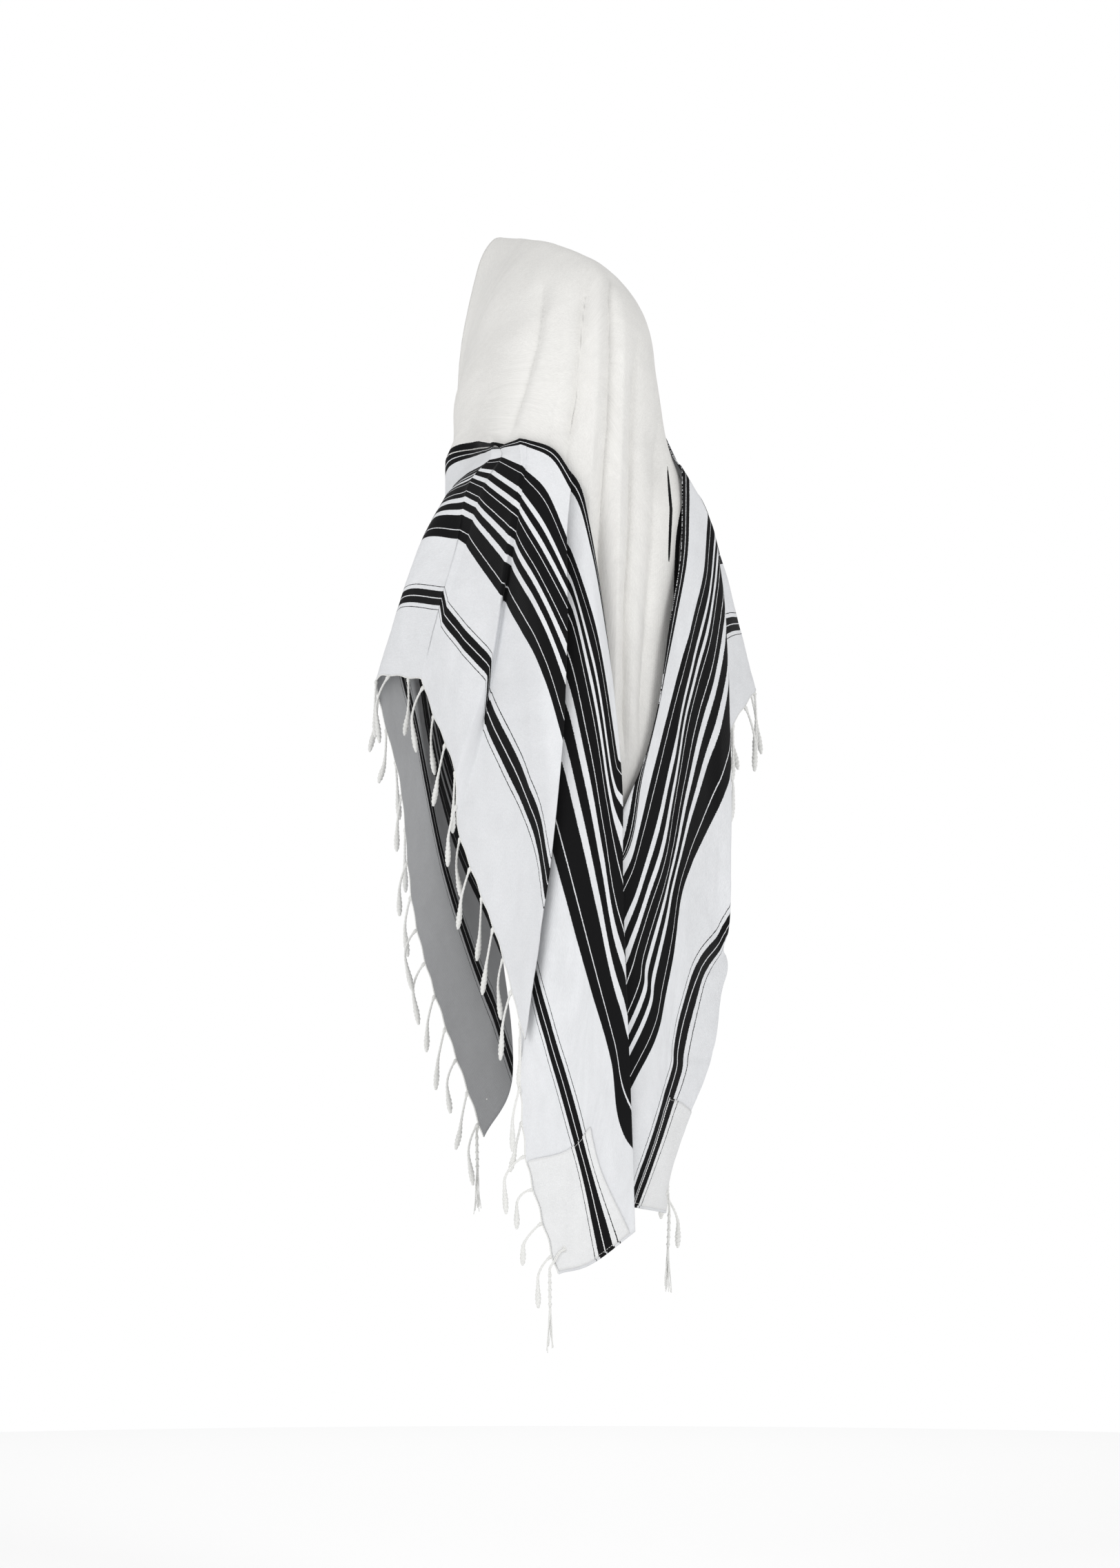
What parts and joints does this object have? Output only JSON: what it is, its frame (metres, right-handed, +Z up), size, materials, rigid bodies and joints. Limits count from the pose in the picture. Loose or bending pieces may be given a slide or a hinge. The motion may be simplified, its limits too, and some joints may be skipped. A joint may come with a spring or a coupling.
{
  "type": "hooded tallit prayer shawl",
  "caption": "Large white woollen prayer shawl with black woven bands, worn over the head and both arms, with fringed ends, corner patches and tied corner tassels.",
  "frame": {"origin": "crown of the head under the cloth, where the wearer holds the garment up", "axes": "+X towards the wearer's left arm, +Y towards the wearer's back, +Z up"},
  "size_m": [0.5185, 0.4222, 1.3921],
  "materials": {
    "white_wool": "matt woven wool, plain off-white",
    "banded_wool": "matt woven wool, white with black woven bands",
    "patch_wool": "matt woven wool, plain white, sewn on",
    "yarn": "matt twisted wool yarn"
  },
  "bodies": {
    "root": {"cloth_centre": "white_wool", "cloth_left_sleeve": "banded_wool", "cloth_left_back": "banded_wool", "cloth_right_sleeve": "banded_wool", "cloth_right_back": "banded_wool", "fringe_left_sleeve": "yarn", "fringe_left_back": "yarn", "fringe_right_sleeve": "yarn", "fringe_right_back": "yarn", "patch_left_front": "patch_wool", "patch_left_back": "patch_wool", "patch_right_front": "patch_wool", "patch_right_back": "patch_wool", "tassel_left_front": "yarn", "tassel_left_back": "yarn", "tassel_right_front": "yarn", "tassel_right_back": "yarn"}
  },
  "joints": []
}
